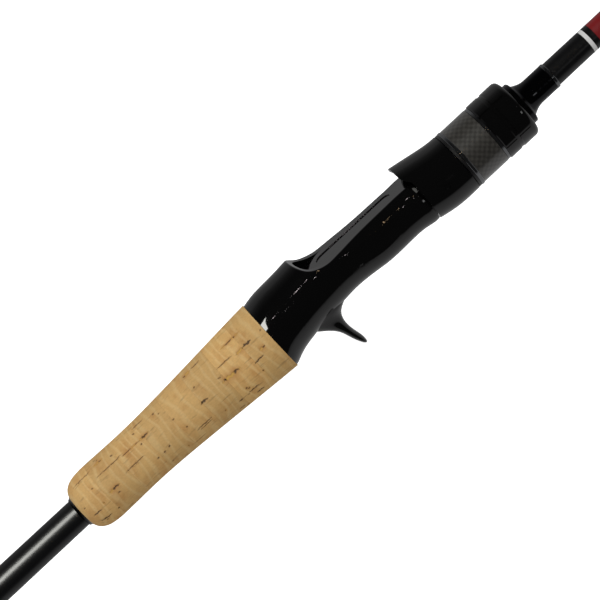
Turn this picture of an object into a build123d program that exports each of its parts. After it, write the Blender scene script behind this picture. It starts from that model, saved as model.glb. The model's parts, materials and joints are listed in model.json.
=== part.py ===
from build123d import *
import os

# Casting rod, 1.98 m long, with a trigger reel seat and a split cork grip.
# The rod lies along X with its butt face at X = 0. Reel and guides stand
# up (+Z) and the trigger points down (-Z). All sizes are millimetres.

# Blank: a hollow carbon tube with two tapers that meet at its knee.
blank_rear = 3.0
blank_knee = 363.0
blank_tip = 1975.0
blank_rear_radius = 6.07
blank_knee_radius = 5.0
blank_tip_radius = 0.95
blank_rear_wall = 1.0
blank_knee_wall = 0.9
blank_tip_wall = 0.55
glue_line = 0.05

# How far a cutting shape reaches past the part.
cut_reach = 40.0

# Butt cap and short rear grip.
cap_length = 10.0
cap_radius = 13.4
cap_edge = 2.5
butt_grip_end = 70.5
butt_ring_count = 5
butt_check_length = 3.0
butt_check_radius = 7.2
butt_check_edge = 0.6

# Main cork grip.
cork_rear = 127.7
cork_pitch = 12.1
cork_ring_count = 8
front_ring_length = 10.3
rear_check_length = 1.4
rear_check_radius = 7.4
rear_check_lip = 6.15
rear_check_dish = 2.2

# Reel seat.
seat_rear = 222.0
seat_shoulder = 297.0
bed_height = 8.6
seat_bore_radius = 6.3
pocket_mouth = 246.8
pocket_depth = 12.0
pocket_draft = 3
pocket_radius = 10.9
pocket_rise = 3.4
pocket_half_width = 7.7
rail_rear = 244.2
rail_front = 262.0
bed_rear = 250.0
bed_front = 294.4
bed_relief = 0.1
arbor_starts = (225.0, 258.0, 291.0, 324.0)
arbor_length = 16.0
rim_radius = 0.6
recess_start = 252.5
recess_length = 36.5
recess_width = 6.6
recess_depth = 0.35
scoop_start = 251.0
scoop_end = 304.0
scoop_height = 1.8
scoop_radius = 40.0
scoop_axis = 50.0
scoop_rise = 3.6

# Threaded barrel in front of the seat.
barrel_radius = 9.2
barrel_end = 344.0
thread_start = 317.5
thread_pitch = 2.0
male_minor = 8.6
male_crest = 9.35
female_crest = 8.95
female_root = 9.7
male_ridge_start = 319.0
male_turns = 11.5
nut_ridge_start = male_ridge_start + 1.5 * thread_pitch
nut_turns = 5.5
ridge_root_width = 1.2
ridge_crest_width = 0.5
ridge_sink = 0.2
key_width = 2.4
key_depth = 1.0

# Sliding hood, which clamps the front of the reel foot.
hood_rear = 295.1
hood_front = 315.3
hood_bore = 9.5
hood_wall = 1.1
hood_counterbore = 11.6
counterbore_floor = 311.0
foot_half_width = 7.2
pin_x = 306.3
pin_z = -0.5
pin_radius = 1.6
pin_clearance = 0.02
pin_start = 9.9
pin_length = 2.75
pin_dimple = 0.3
hood_edge_gap = 0.35
hood_edge_height = 13.0
hood_key_start = 299.0
hood_key_height = 0.9
liner_gap = 0.05
liner_thickness = 0.8

# Locking nut: core, trim rings, carbon sleeve and head.
flange_start = 311.5
flange_end = 312.9
flange_radius = 11.2
neck_radius = 10.3
shoulder_start = 315.7
rear_trim_start = 316.7
sleeve_start = 318.2
sleeve_end = 329.9
head_start = 331.4
core_end = 336.0
head_groove_start = 336.7
head_groove_end = 338.0
head_round_start = 343.6
head_end = 345.7
head_face_radius = 10.7
head_mouth_radius = 9.55
head_mouth_depth = 1.1
head_land_edge = 0.25
core_radius = 11.0
sleeve_radius = 12.25
head_radius = 12.5
grip_groove_count = 5
grip_groove_width = 1.2
grip_groove_depth = 0.28
grip_groove_first = 132.5

# Front winding check.
collar_start = 344.6
collar_end = 348.1
collar_radius = 9.0
collar_edge = 0.4
flare_radius = 7.9
flare_end = 353.8
check_radius = 5.4
check_end = 361.2
check_ring_end = 362.6
check_ring_radius = 5.45

# Guides: place along the rod, ring bore radius, height over the axis, feet.
guides = [
    (685.0, 4.5, 17.0, 2),
    (926.0, 3.7, 13.5, 2),
    (1142.0, 2.9, 10.5, 1),
    (1332.0, 2.3, 8.4, 1),
    (1497.0, 2.1, 7.4, 1),
    (1637.0, 1.95, 6.6, 1),
    (1764.0, 1.8, 6.0, 1),
    (1878.0, 1.75, 5.5, 1),
]
ring_wall = 0.75
ring_width = 1.3
band_wall = 0.45
foot_length = 11.0
foot_thickness = 0.7
foot_sink = 0.35
wrap_cover = 0.45


def blank_radius(x):
    """Outer radius of the blank at x."""
    if x < blank_knee:
        start, end = blank_rear, blank_knee
        first, last = blank_rear_radius, blank_knee_radius
    else:
        start, end = blank_knee, blank_tip
        first, last = blank_knee_radius, blank_tip_radius
    return first + (last - first) * (x - start) / (end - start)


def cross_plane(x, z=0.0):
    """A sketch plane square to the rod: its x is +Y and its y is +Z."""
    return Plane(origin=(x, 0, z), x_dir=(0, 1, 0), z_dir=(1, 0, 0))


def turned(x_start, x_end, inner, outer, edge=0.0):
    """A ring about the rod's axis, with both outer edges chamfered."""
    with BuildPart() as ring:
        with BuildSketch(cross_plane(x_start)):
            Circle(outer)
            Circle(inner, mode=Mode.SUBTRACT)
        extrude(amount=x_end - x_start)
        if edge:
            rims = ring.edges().filter_by(GeomType.CIRCLE).group_by(SortBy.RADIUS)[-1]
            chamfer(rims, length=edge)
    return ring


def save(piece, name):
    """Label a finished piece and write it as its own STEP file."""
    piece.part.label = name
    export_step(piece.part, f"parts/{name}.step")


os.makedirs("parts", exist_ok=True)

# Blank ---------------------------------------------------------------------
with BuildPart() as blank:
    with BuildSketch(Plane.XZ):
        with BuildLine():
            Polyline(
                (blank_rear, blank_rear_radius),
                (blank_knee, blank_knee_radius),
                (blank_tip, blank_tip_radius),
                (blank_tip, blank_tip_radius - blank_tip_wall),
                (blank_knee, blank_knee_radius - blank_knee_wall),
                (blank_rear, blank_rear_radius - blank_rear_wall),
                close=True,
            )
        make_face()
    revolve(axis=Axis.X)
save(blank, "blank")

# Butt cap: a moulded rubber cup over the end of the blank --------------------
with BuildPart() as butt_cap:
    with BuildSketch(cross_plane(0)):
        Circle(cap_radius)
    extrude(amount=cap_length)
    rear_edge = butt_cap.edges().filter_by(GeomType.CIRCLE).sort_by(Axis.X)[0]
    fillet(rear_edge, radius=cap_edge)
    with BuildSketch(cross_plane(cap_length)):
        Circle(blank_rear_radius + glue_line)
    extrude(amount=blank_rear - cap_length, mode=Mode.SUBTRACT)
save(butt_cap, "butt_cap")

# Butt grip: five cork rings turned to one profile ----------------------------
butt_ring_length = (butt_grip_end - cap_length) / butt_ring_count
for number in range(butt_ring_count):
    ring_start = cap_length + number * butt_ring_length
    with BuildPart() as butt_ring:
        with BuildSketch(Plane.XZ):
            with BuildLine():
                surface = Spline(
                    (cap_length, cap_radius),
                    (24, 13.1),
                    (42, 11.6),
                    (60, 10.2),
                    (68, 9.4),
                    (butt_grip_end, 7.9),
                )
                Line(surface @ 1, (butt_grip_end, 0))
                Line((butt_grip_end, 0), (cap_length, 0))
                Line((cap_length, 0), surface @ 0)
            make_face()
            with Locations((ring_start + butt_ring_length / 2, 0)):
                Rectangle(butt_ring_length, 2 * cut_reach, mode=Mode.INTERSECT)
        revolve(axis=Axis.X)
        with BuildSketch(cross_plane(ring_start)):
            Circle(blank_radius(ring_start) + glue_line)
        extrude(amount=butt_ring_length, mode=Mode.SUBTRACT)
    save(butt_ring, f"butt_cork_ring_{number + 1}")

butt_check = turned(
    butt_grip_end,
    butt_grip_end + butt_check_length,
    blank_radius(butt_grip_end) + glue_line,
    butt_check_radius,
    butt_check_edge,
)
save(butt_check, "butt_check")

# Rear winding check: a thin dished ring behind the main grip ------------------
check_start = cork_rear - rear_check_length
with BuildPart() as rear_check:
    with BuildSketch(Plane.XZ):
        bore = blank_radius(check_start) + glue_line
        with BuildLine():
            outline = Polyline(
                (cork_rear, rear_check_radius),
                (cork_rear, bore),
                (check_start, bore),
                (check_start, rear_check_lip),
            )
            RadiusArc(outline @ 1, outline @ 0, -rear_check_dish)
        make_face()
    revolve(axis=Axis.X)
save(rear_check, "rear_check")

# Main grip: eight cork rings turned to one profile -----------------------------
joint_faces = [seat_rear]
for number in range(cork_ring_count - 1):
    joint_faces.append(seat_rear - front_ring_length - number * cork_pitch)
joint_faces.append(cork_rear)
joint_faces.reverse()
for number in range(cork_ring_count):
    ring_start, ring_end = joint_faces[number], joint_faces[number + 1]
    with BuildPart() as cork_ring:
        with BuildSketch(Plane.XZ):
            with BuildLine():
                surface = Spline(
                    (cork_rear, 7.5),
                    (128.7, 9.05),
                    (130.8, 10.5),
                    (134.3, 11.38),
                    (141.0, 11.6),
                    (156.0, 11.35),
                    (175.0, 12.0),
                    (197.0, 13.35),
                    (seat_rear, 14.9),
                )
                Line(surface @ 1, (seat_rear, 0))
                Line((seat_rear, 0), (cork_rear, 0))
                Line((cork_rear, 0), surface @ 0)
            make_face()
            with Locations(((ring_start + ring_end) / 2, 0)):
                Rectangle(ring_end - ring_start, 2 * cut_reach, mode=Mode.INTERSECT)
        revolve(axis=Axis.X)
        with BuildSketch(cross_plane(ring_start)):
            Circle(blank_radius(ring_start) + glue_line)
        extrude(amount=ring_end - ring_start, mode=Mode.SUBTRACT)
    save(cork_ring, f"cork_ring_{number + 1}")

# Reel seat ------------------------------------------------------------------
# Round sections of the body: place, radius and how far the centre is raised.
body_sections = [
    (seat_rear, 14.45, 0.0),
    (225.3, 14.2, 1.0),
    (229.0, 13.8, 1.9),
    (233.0, 13.5, 2.4),
    (240.0, 13.1, 3.2),
    (247.0, 13.0, 3.8),
    (252.0, 12.75, 3.95),
    (257.0, 12.3, 3.8),
    (262.0, 11.75, 3.05),
    (266.0, 11.35, 2.25),
    (272.0, 11.09, 1.29),
    (285.0, 10.73, 0.93),
    (291.0, 10.8, 0.73),
    (seat_shoulder, 10.9, 0.26),
]
# Trigger sections from root to tip: height, rear edge, front edge, half width.
trigger_sections = [
    (-5.5, 228.8, 258.0, 9.2),
    (-7.3, 231.2, 253.6, 7.9),
    (-9.3, 233.6, 250.2, 6.6),
    (-11.2, 235.6, 247.6, 5.6),
    (-13.5, 238.4, 246.2, 4.8),
    (-17.0, 241.4, 245.7, 4.2),
    (-20.5, 242.8, 246.1, 3.9),
    (-23.6, 243.9, 246.8, 3.5),
    (-26.0, 245.1, 247.0, 2.6),
    (-27.0, 245.9, 246.8, 1.4),
]
with BuildPart() as reel_seat:
    for x, radius, rise in body_sections:
        with BuildSketch(cross_plane(x, rise)):
            Circle(radius)
    loft()
    # Barrel that carries the hood and the thread.
    with BuildSketch(cross_plane(seat_shoulder - 10)):
        Circle(barrel_radius)
    extrude(amount=thread_start - seat_shoulder + 10)
    with BuildSketch(cross_plane(thread_start)):
        Circle(male_minor)
    extrude(amount=barrel_end - thread_start)
    # Bed for the reel foot, with sides that rise to the pocket's rim.
    with BuildSketch(Plane.XZ):
        with BuildLine():
            rail = Spline(
                (rail_rear, 17.6),
                (245.6, 14.4),
                (248.0, 11.4),
                (252.5, 9.3),
                (rail_front, bed_height),
                tangents=((0.25, -1), (1, 0)),
            )
            Polyline(
                rail @ 1,
                (thread_start, bed_height),
                (thread_start, cut_reach),
                (rail_rear, cut_reach),
                rail @ 0,
            )
        make_face()
    extrude(amount=cut_reach, both=True, mode=Mode.SUBTRACT)
    # Long shallow hollows in both flanks, where the palm and fingers close.
    for side in (-1, 1):
        with BuildSketch(Plane.XY.offset(scoop_height)):
            with BuildLine():
                near = side * (scoop_axis - scoop_radius)
                hollow = ThreePointArc(
                    (scoop_start, near + side * scoop_rise),
                    ((scoop_start + scoop_end) / 2, near),
                    (scoop_end, near + side * scoop_rise),
                )
                Polyline(
                    hollow @ 1,
                    (scoop_end, side * scoop_axis),
                    (scoop_start, side * scoop_axis),
                    hollow @ 0,
                )
            make_face()
        scoop_line = Axis(origin=(0, side * scoop_axis, scoop_height), direction=(1, 0, 0))
        revolve(axis=scoop_line, mode=Mode.SUBTRACT)
    # Pocket under the seat's fixed hood, which takes the rear of the foot,
    # and the level channel that leads into it, with a trace of relief behind
    # the bed.
    for slot_start, slot_length, draft, relief in (
        (rail_front, rail_front - bed_rear, 0, 0),
        (bed_rear, bed_rear - pocket_mouth, 0, bed_relief),
        (pocket_mouth, pocket_depth, pocket_draft, bed_relief),
    ):
        floor = bed_height - relief
        with BuildSketch(cross_plane(slot_start)):
            with Locations((0, pocket_rise)):
                Circle(pocket_radius)
            with Locations((0, (floor + cut_reach) / 2)):
                Rectangle(2 * pocket_half_width, cut_reach - floor, mode=Mode.INTERSECT)
        extrude(amount=-slot_length, taper=draft, mode=Mode.SUBTRACT)
    # Softened rim of the bed and pocket.
    rim = reel_seat.edges().filter_by(
        lambda edge: edge.length > 20
        and edge.bounding_box().min.Z > bed_height - 0.01
        and abs(edge.center().Y) > foot_half_width * 0.6
        and edge.bounding_box().max.X > pocket_mouth
    )
    fillet(rim, radius=rim_radius)
    # The same relief in front of the bed, under the hood.
    with BuildSketch(Plane.XY.offset(bed_height - bed_relief)):
        with Locations(((bed_front + thread_start) / 2, 0)):
            Rectangle(thread_start - bed_front, 2 * cut_reach)
    extrude(amount=cut_reach, mode=Mode.SUBTRACT)
    # Shallow oblong recess along the bed.
    with BuildSketch(Plane.XY.offset(bed_height)):
        with Locations((recess_start + recess_length / 2, 0)):
            SlotOverall(recess_length, recess_width)
    extrude(amount=-recess_depth, taper=20, mode=Mode.SUBTRACT)
    # Trigger for the first finger.
    for height, rear, front, half_width in trigger_sections:
        with BuildSketch(Plane.XY.offset(height)):
            with Locations(((rear + front) / 2, 0)):
                Ellipse((front - rear) / 2, half_width)
    loft()
    # Thread ridge, with its root sunk into the barrel.
    with BuildLine():
        helix = Helix(
            pitch=thread_pitch,
            height=male_turns * thread_pitch,
            radius=male_minor,
            center=(male_ridge_start, 0, 0),
            direction=(1, 0, 0),
        )
    outward = Vector(0, (helix @ 0).Y, (helix @ 0).Z).normalized()
    with BuildSketch(Plane(origin=helix @ 0, x_dir=outward, z_dir=helix % 0)):
        with BuildLine():
            Polyline(
                (-ridge_sink, ridge_root_width / 2),
                (male_crest - male_minor, ridge_crest_width / 2),
                (male_crest - male_minor, -ridge_crest_width / 2),
                (-ridge_sink, -ridge_root_width / 2),
                close=True,
            )
        make_face()
    sweep(path=helix, is_frenet=True)
    # Keyway along the underside, which stops the hood from turning.
    with BuildSketch(Plane.XY.offset(-barrel_radius + key_depth)):
        with Locations(((seat_shoulder + barrel_end) / 2 + 1, 0)):
            Rectangle(barrel_end - seat_shoulder + 2, key_width)
    extrude(amount=-3, mode=Mode.SUBTRACT)
    # Bore for the blank and its arbors.
    with BuildSketch(cross_plane(seat_rear - 1)):
        Circle(seat_bore_radius)
    extrude(amount=barrel_end - seat_rear + 2, mode=Mode.SUBTRACT)
save(reel_seat, "reel_seat")

# Arbors: four rings that centre the seat on the blank -------------------------
with BuildPart() as seat_arbors:
    for arbor_start in arbor_starts:
        with BuildSketch(cross_plane(arbor_start)):
            Circle(seat_bore_radius)
            Circle(blank_radius(arbor_start) + glue_line, mode=Mode.SUBTRACT)
        extrude(amount=arbor_length)
save(seat_arbors, "seat_arbors")

# Front winding check with its collar -------------------------------------------
check_bore = blank_radius(barrel_end) + glue_line
with BuildPart() as front_check:
    with BuildSketch(Plane.XZ):
        with BuildLine():
            Polyline(
                (flare_end, check_radius),
                (check_end, check_radius),
                (check_end, check_bore),
                (collar_start, check_bore),
                (collar_start, collar_radius),
                (collar_end - collar_edge, collar_radius),
                (collar_end, collar_radius - collar_edge),
                (collar_end, flare_radius),
            )
            Spline(
                (collar_end, flare_radius),
                (349.6, 6.5),
                (flare_end, check_radius),
                tangents=((0.35, -1), (1, 0)),
            )
        make_face()
    revolve(axis=Axis.X)
save(front_check, "front_check")

check_trim_ring = turned(check_end, check_ring_end, check_bore, check_ring_radius, 0.2)
save(check_trim_ring, "check_trim_ring")

# Sliding hood --------------------------------------------------------------------
# Round sections of the hood: place, radius and how far the centre is raised.
hood_sections = [
    (hood_rear, 12.93, 2.6),
    (299.6, 13.0, 1.7),
    (306.0, 12.9, 0.6),
    (311.0, 12.6, 0.1),
    (hood_front, 12.45, 0.0),
]
with BuildPart() as front_hood:
    for x, radius, rise in hood_sections:
        with BuildSketch(cross_plane(x, rise)):
            Circle(radius)
    loft()
    with BuildSketch(cross_plane(hood_rear - 1)):
        Circle(hood_bore)
    extrude(amount=hood_front - hood_rear + 2, mode=Mode.SUBTRACT)
    with BuildSketch(cross_plane(counterbore_floor)):
        Circle(hood_counterbore)
    extrude(amount=hood_front - counterbore_floor + 1, mode=Mode.SUBTRACT)
    # Lower half of the rear edge, set back to meet the seat's shoulder.
    with BuildSketch(Plane.XZ):
        with BuildLine():
            edge_curve = Spline(
                (seat_shoulder + hood_edge_gap, bed_height + 0.2),
                (seat_shoulder - 0.8, bed_height + 2.2),
                (hood_rear - 0.1, hood_edge_height),
                tangents=((0, 1), (-0.4, 1)),
            )
            Polyline(
                edge_curve @ 1,
                (hood_rear - cut_reach, hood_edge_height),
                (hood_rear - cut_reach, -cut_reach),
                (seat_shoulder + hood_edge_gap, -cut_reach),
                edge_curve @ 0,
            )
        make_face()
    extrude(amount=cut_reach, both=True, mode=Mode.SUBTRACT)
    # Space for the front of the reel foot.
    for x, radius, rise in hood_sections[:3]:
        with BuildSketch(cross_plane(x, rise)):
            Circle(radius - hood_wall)
            with Locations((0, cut_reach / 2 - rise)):
                Rectangle(2 * foot_half_width, cut_reach, mode=Mode.INTERSECT)
    loft(mode=Mode.SUBTRACT)
    # Key that rides in the barrel's keyway.
    with BuildSketch(cross_plane(hood_key_start)):
        with Locations((0, -hood_bore + 0.35)):
            Rectangle(key_width - 0.3, hood_key_height)
    extrude(amount=counterbore_floor - hood_key_start)
    # Holes for the two pins.
    with BuildSketch(Plane.XZ):
        with Locations((pin_x, pin_z)):
            Circle(pin_radius)
    extrude(amount=cut_reach, both=True, mode=Mode.SUBTRACT)
save(front_hood, "front_hood")

# Liner that cushions the reel foot, and the pins that hold it --------------------
with BuildPart() as hood_liner:
    for x, radius, rise in hood_sections[1:3]:
        with BuildSketch(cross_plane(x, rise)):
            Circle(radius - hood_wall - liner_gap)
            Circle(radius - hood_wall - liner_gap - liner_thickness, mode=Mode.SUBTRACT)
            with Locations((0, cut_reach / 2 + bed_height + 0.6 - rise)):
                Rectangle(2 * foot_half_width - 0.2, cut_reach, mode=Mode.INTERSECT)
    loft()
save(hood_liner, "hood_liner")

with BuildPart() as hood_pins:
    for side in (-1, 1):
        with BuildSketch(Plane.XZ.offset(side * pin_start)):
            with Locations((pin_x, pin_z)):
                Circle(pin_radius - pin_clearance)
        extrude(amount=side * pin_length)
        with BuildSketch(Plane.XZ.offset(side * (pin_start + pin_length))):
            with Locations((pin_x, pin_z)):
                Circle(pin_radius * 0.55)
        extrude(amount=-side * pin_dimple, mode=Mode.SUBTRACT)
save(hood_pins, "hood_pins")

slip_washer = turned(counterbore_floor + 0.02, flange_start - 0.08, male_crest + 0.4, flange_radius)
save(slip_washer, "slip_washer")

retaining_ring = turned(flange_end + 0.3, hood_front - 0.3, neck_radius + 0.35, hood_counterbore, 0.2)
save(retaining_ring, "retaining_ring")

# Locking nut -----------------------------------------------------------------------
with BuildPart() as nut_core:
    core_steps = [
        (flange_start, flange_end, flange_radius),
        (flange_end, shoulder_start, neck_radius),
        (shoulder_start, rear_trim_start, head_radius - 0.2),
        (rear_trim_start, core_end, core_radius),
    ]
    for step_start, step_end, step_radius in core_steps:
        with BuildSketch(cross_plane(step_start)):
            Circle(step_radius)
            Circle(female_root, mode=Mode.SUBTRACT)
        extrude(amount=step_end - step_start)
    with BuildLine():
        nut_helix = Helix(
            pitch=thread_pitch,
            height=nut_turns * thread_pitch,
            radius=female_root,
            center=(nut_ridge_start, 0, 0),
            direction=(1, 0, 0),
        )
    inward = Vector(0, -(nut_helix @ 0).Y, -(nut_helix @ 0).Z).normalized()
    with BuildSketch(Plane(origin=nut_helix @ 0, x_dir=inward, z_dir=nut_helix % 0)):
        with BuildLine():
            Polyline(
                (-ridge_sink, ridge_root_width / 2),
                (female_root - female_crest, ridge_crest_width / 2),
                (female_root - female_crest, -ridge_crest_width / 2),
                (-ridge_sink, -ridge_root_width / 2),
                close=True,
            )
        make_face()
    sweep(path=nut_helix, is_frenet=True)
save(nut_core, "nut_core")

rear_trim_ring = turned(rear_trim_start, sleeve_start, core_radius, head_radius - 0.05, 0.25)
save(rear_trim_ring, "rear_trim_ring")
carbon_sleeve = turned(sleeve_start, sleeve_end, core_radius, sleeve_radius)
save(carbon_sleeve, "carbon_sleeve")
front_trim_ring = turned(sleeve_end, head_start, core_radius, sleeve_radius - 0.12, 0.2)
save(front_trim_ring, "front_trim_ring")

with BuildPart() as nut_head:
    with BuildSketch(Plane.XZ):
        with BuildLine():
            Polyline(
                (head_end, head_face_radius),
                (head_end, head_mouth_radius),
                (head_end - head_mouth_depth, head_mouth_radius),
                (head_end - head_mouth_depth, female_root + 0.1),
                (core_end, female_root + 0.1),
                (core_end, core_radius),
                (head_start, core_radius),
                (head_start, head_radius - head_land_edge),
                (head_start + head_land_edge, head_radius),
                (head_groove_start - 0.2, head_radius),
                (head_groove_start, head_radius - head_land_edge),
                (head_groove_end, head_radius - head_land_edge),
                (head_groove_end + 0.2, head_radius),
                (head_round_start, head_radius),
            )
            EllipticalCenterArc(
                (head_round_start, head_face_radius),
                head_end - head_round_start,
                head_radius - head_face_radius,
                start_angle=0,
                arc_size=90,
            )
        make_face()
    revolve(axis=Axis.X)
    # Grip grooves, which stop short of the rounded front.
    spacing = 360 / grip_groove_count
    with BuildSketch(cross_plane(head_start - 1)):
        for number in range(grip_groove_count):
            with Locations(Rot(Z=grip_groove_first + number * spacing)):
                with Locations((head_radius + 1 - grip_groove_depth, 0)):
                    Rectangle(2, grip_groove_width)
    extrude(amount=head_round_start - head_start + 0.6, mode=Mode.SUBTRACT)
save(nut_head, "nut_head")

# Line guides ---------------------------------------------------------------------
for number, (guide_x, bore_radius, height, feet) in enumerate(guides, start=1):
    ring_outer = bore_radius + ring_wall
    band_outer = ring_outer + band_wall
    rod_radius = blank_radius(guide_x)
    size = bore_radius / guides[0][1]
    reach = 4 + 8 * size
    length = foot_length * (0.55 + 0.45 * size)
    foot_width = 1.1 + 1.4 * size
    leg = 0.55 + 0.35 * size
    foot_signs = (1, -1) if feet == 2 else (-1,)

    # Ceramic ring, rounded where the line runs.
    with BuildPart() as guide_ring:
        with BuildSketch(Plane.XZ):
            with Locations((guide_x, height + bore_radius + ring_wall / 2)):
                SlotOverall(ring_width, ring_wall * 0.98)
        revolve(axis=Axis(origin=(guide_x, 0, height), direction=(1, 0, 0)))
    save(guide_ring, f"guide_{number}_ring")

    # Stamped frame: a band round the ring, legs and feet.
    with BuildPart() as guide_frame:
        with BuildSketch(cross_plane(guide_x - ring_width / 2, height)):
            Circle(band_outer)
        extrude(amount=ring_width)
        for sign in foot_signs:
            for side in (-1, 1):
                top = (guide_x, side * band_outer * 0.78, height - band_outer * 0.62)
                toe = (guide_x + sign * (reach + 0.8), side * foot_width * 0.2, rod_radius + foot_thickness * 0.5)
                with BuildLine() as leg_line:
                    Line(top, toe)
                with BuildSketch(Plane(origin=top, x_dir=(0, 1, 0), z_dir=leg_line.line % 0)):
                    RectangleRounded(leg * 1.5, leg, leg * 0.3)
                sweep(path=leg_line.line)
            foot_start = guide_x + sign * (reach - 1.2)
            foot_end = foot_start + sign * length
            with BuildSketch(Plane.XY.offset(rod_radius - foot_sink)):
                with BuildLine():
                    Polyline(
                        (foot_start, foot_width / 2),
                        (foot_end, foot_width / 5),
                        (foot_end, -foot_width / 5),
                        (foot_start, -foot_width / 2),
                        close=True,
                    )
                make_face()
            extrude(amount=foot_sink + foot_thickness)
        with BuildSketch(cross_plane(guide_x - ring_width, height)):
            Circle(ring_outer)
        extrude(amount=2 * ring_width, mode=Mode.SUBTRACT)
        add(blank.part, mode=Mode.SUBTRACT)
    save(guide_frame, f"guide_{number}_frame")

    # Thread wraps under epoxy, one over each foot.
    with BuildPart() as guide_wrap:
        for sign in foot_signs:
            wrap_start = guide_x + sign * (reach + 0.8)
            wrap_end = wrap_start + sign * (length + 2.0)
            crown = foot_thickness + wrap_cover
            with BuildSketch(Plane.XZ):
                with BuildLine():
                    start_radius = blank_radius(wrap_start)
                    end_radius = blank_radius(wrap_end)
                    cover = Spline(
                        (wrap_start, start_radius + 0.25),
                        (wrap_start + sign * 1.5, start_radius + crown),
                        ((wrap_start + wrap_end) / 2, rod_radius + crown),
                        (wrap_end, end_radius + 0.15),
                    )
                    Line(cover @ 1, (wrap_end, end_radius))
                    Line((wrap_end, end_radius), (wrap_start, start_radius))
                    Line((wrap_start, start_radius), cover @ 0)
                make_face()
            revolve(axis=Axis.X)
        add(guide_frame.part, mode=Mode.SUBTRACT)
    save(guide_wrap, f"guide_{number}_wrap")

# Tip-top: a tube over the blank's end that carries the last ring ---------------------
tip_bore_radius = 1.75
tip_tube_start = 1965.0
tip_tube_end = 1976.0
tip_tube_bore = blank_radius(tip_tube_start) + glue_line
tip_tube_radius = 1.4
tip_ring_x = 1978.0
tip_ring_height = 3.4
tip_ring_outer = tip_bore_radius + ring_wall
with BuildPart() as tip_top_ring:
    with BuildSketch(Plane.XZ):
        with Locations((tip_ring_x, tip_ring_height + tip_bore_radius + ring_wall / 2)):
            SlotOverall(ring_width, ring_wall * 0.98)
    revolve(axis=Axis(origin=(tip_ring_x, 0, tip_ring_height), direction=(1, 0, 0)))
save(tip_top_ring, "tip_top_ring")

with BuildPart() as tip_top_frame:
    with BuildSketch(cross_plane(tip_tube_start)):
        Circle(tip_tube_radius)
    extrude(amount=tip_tube_end - tip_tube_start)
    with BuildSketch(cross_plane(tip_ring_x - ring_width / 2, tip_ring_height)):
        Circle(tip_ring_outer + band_wall)
    extrude(amount=ring_width)
    for side in (-1, 1):
        top = (tip_ring_x, side * (tip_ring_outer + 0.1), tip_ring_height)
        toe = (tip_tube_start + 4, side * 1.0, 0.6)
        with BuildLine() as brace_line:
            Line(top, toe)
        with BuildSketch(Plane(origin=top, x_dir=(0, 1, 0), z_dir=brace_line.line % 0)):
            RectangleRounded(0.8, 0.7, 0.2)
        sweep(path=brace_line.line)
    with BuildSketch(cross_plane(tip_ring_x - ring_width, tip_ring_height)):
        Circle(tip_ring_outer)
    extrude(amount=2 * ring_width, mode=Mode.SUBTRACT)
    with BuildSketch(cross_plane(tip_tube_start)):
        Circle(tip_tube_bore)
    extrude(amount=blank_tip - tip_tube_start, mode=Mode.SUBTRACT)
save(tip_top_frame, "tip_top_frame")

tip_wrap = turned(tip_tube_start - 5, tip_tube_start, blank_radius(tip_tube_start - 5) + 0.01, 1.3, 0.15)
save(tip_wrap, "tip_wrap")
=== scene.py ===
"""Casting rod with a trigger reel seat: finishes, cork grips and studio."""

import json
import math

import bpy
import numpy as np
from bpy.props import (
    FloatProperty,
    FloatVectorProperty,
    IntProperty,
    PointerProperty,
)
from mathutils import Matrix, Vector


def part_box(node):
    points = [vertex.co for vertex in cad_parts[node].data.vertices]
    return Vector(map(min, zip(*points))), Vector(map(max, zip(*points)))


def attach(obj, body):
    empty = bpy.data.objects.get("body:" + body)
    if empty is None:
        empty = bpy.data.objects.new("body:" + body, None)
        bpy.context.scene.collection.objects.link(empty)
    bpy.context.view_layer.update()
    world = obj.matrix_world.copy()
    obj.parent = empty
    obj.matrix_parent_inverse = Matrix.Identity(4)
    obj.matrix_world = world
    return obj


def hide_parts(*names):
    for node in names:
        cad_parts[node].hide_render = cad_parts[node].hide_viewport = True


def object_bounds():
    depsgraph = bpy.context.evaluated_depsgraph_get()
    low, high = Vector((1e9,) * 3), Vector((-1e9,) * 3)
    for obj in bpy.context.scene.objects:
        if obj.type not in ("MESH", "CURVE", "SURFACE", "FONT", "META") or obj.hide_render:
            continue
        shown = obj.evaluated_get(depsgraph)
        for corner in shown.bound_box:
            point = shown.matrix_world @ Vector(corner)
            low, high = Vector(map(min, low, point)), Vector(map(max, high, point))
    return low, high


bl_info = {
    "name": "Casting Rod",
    "version": (1, 0, 0),
    "blender": (4, 5, 0),
    "location": "3D View > Sidebar > Casting Rod",
    "description": "Cork grips, finishes and a studio for a one-piece casting rod",
    "category": "Object",
}

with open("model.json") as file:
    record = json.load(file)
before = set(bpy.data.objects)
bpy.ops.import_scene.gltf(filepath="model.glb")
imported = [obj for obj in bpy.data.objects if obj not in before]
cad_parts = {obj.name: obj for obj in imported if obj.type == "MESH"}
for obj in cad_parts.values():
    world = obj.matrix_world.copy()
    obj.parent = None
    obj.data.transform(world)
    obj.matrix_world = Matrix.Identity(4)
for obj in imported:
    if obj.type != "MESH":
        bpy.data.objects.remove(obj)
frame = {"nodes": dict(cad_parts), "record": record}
NODES = frame["nodes"]
CAD_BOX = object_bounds()
BODY_OF = {
    node: body
    for body, members in frame["record"]["behaviour"]["bodies"].items()
    for node in members
}

MM = 0.001
FULL_TURN = 2 * math.pi
SMOOTH_ANGLE = math.radians(40)
OUTLINE_WELD = 1e-7
RING_WELD = 1e-6
STATION_GAP = 2e-5
WHITE = (1.0, 1.0, 1.0)
GUIDE_COUNT = 8
BUTT_RINGS = 5
GRIP_RINGS = 8


def linear(hex_colour):
    """An sRGB hex colour as linear red, green and blue."""
    channels = [int(hex_colour[i : i + 2], 16) / 255 for i in (1, 3, 5)]
    return tuple(
        c / 12.92 if c <= 0.04045 else ((c + 0.055) / 1.055) ** 2.4 for c in channels
    )


def rgba(colour):
    """A colour with full alpha, as a colour socket wants it."""
    return (*tuple(colour)[:3], 1.0)


# ---------------------------------------------------------------- properties


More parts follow.
